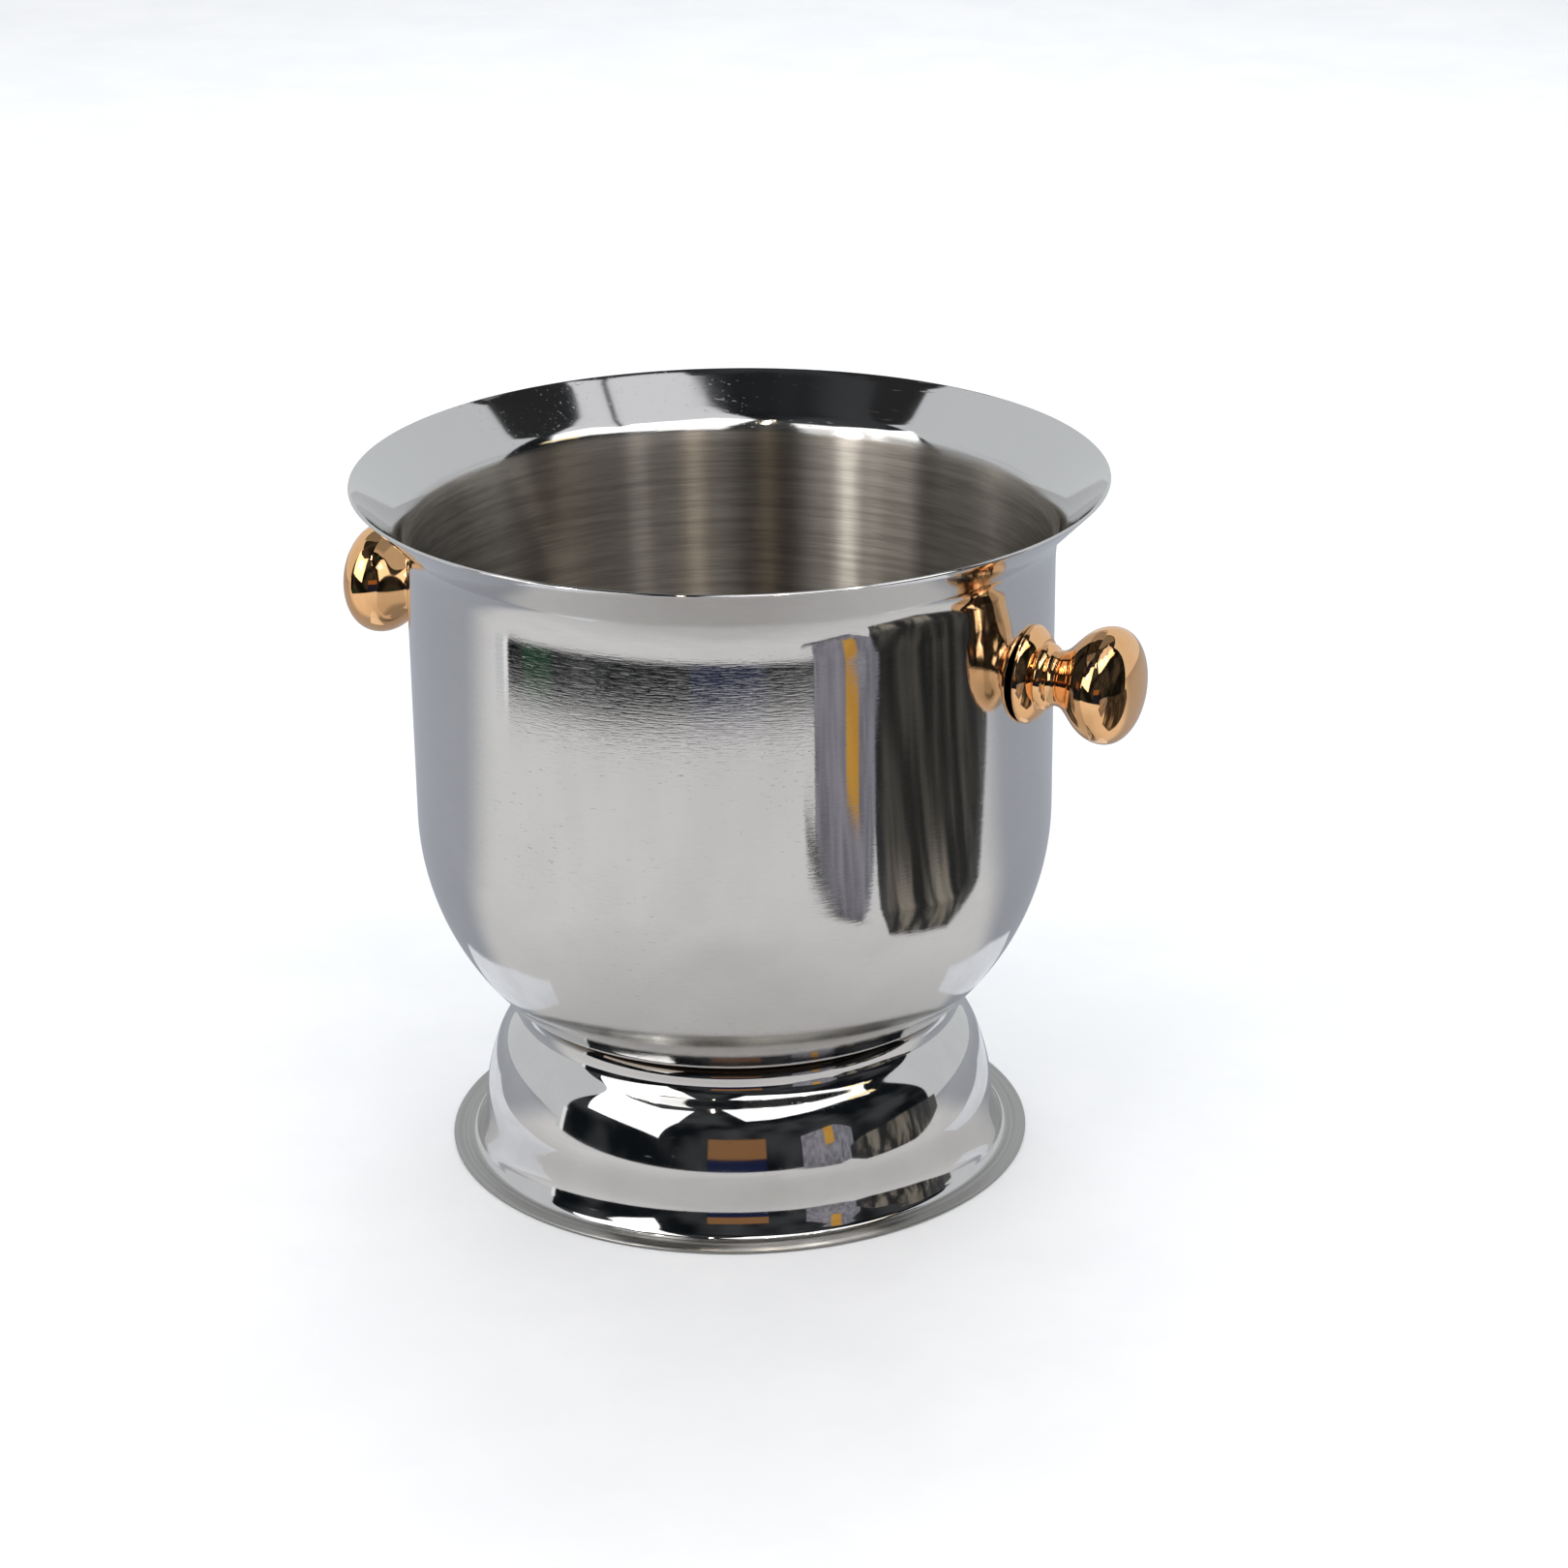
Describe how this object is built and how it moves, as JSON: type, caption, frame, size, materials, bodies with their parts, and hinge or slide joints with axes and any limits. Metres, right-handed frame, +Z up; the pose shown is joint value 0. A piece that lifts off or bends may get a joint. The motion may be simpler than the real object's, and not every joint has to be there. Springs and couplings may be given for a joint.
{
  "type": "champagne bucket",
  "caption": "Footed champagne bucket: round polished bowl with a flared rim, on a hollow bell-shaped foot, with mushroom side knobs screwed on through the wall.",
  "frame": {"origin": "on the table, on the bucket's centre line, under the middle of the foot", "axes": "+Z up along the centre line, +X through the right knob, -X through the left knob, Y across"},
  "size_m": [0.2554, 0.2196, 0.2075],
  "materials": {
    "polished_steel": "mirror-polished outside and flare, satin spun inside",
    "foot_steel": "mirror-polished with fine turning marks, satin flange",
    "copper_plate": "brass plated with mirror-bright copper",
    "fixing_steel": "plain machined",
    "seal_rubber": "matt"
  },
  "bodies": {
    "root": {"bowl": "polished_steel", "foot": "foot_steel", "foot_stud": "fixing_steel", "foot_washer": "fixing_steel", "foot_nut": "fixing_steel", "knob_right": "copper_plate", "knob_left": "copper_plate", "knob_screw_right": "fixing_steel", "knob_screw_left": "fixing_steel", "knob_washer_right": "fixing_steel", "knob_washer_left": "fixing_steel", "knob_seal_right": "seal_rubber", "knob_seal_left": "seal_rubber"}
  },
  "joints": []
}
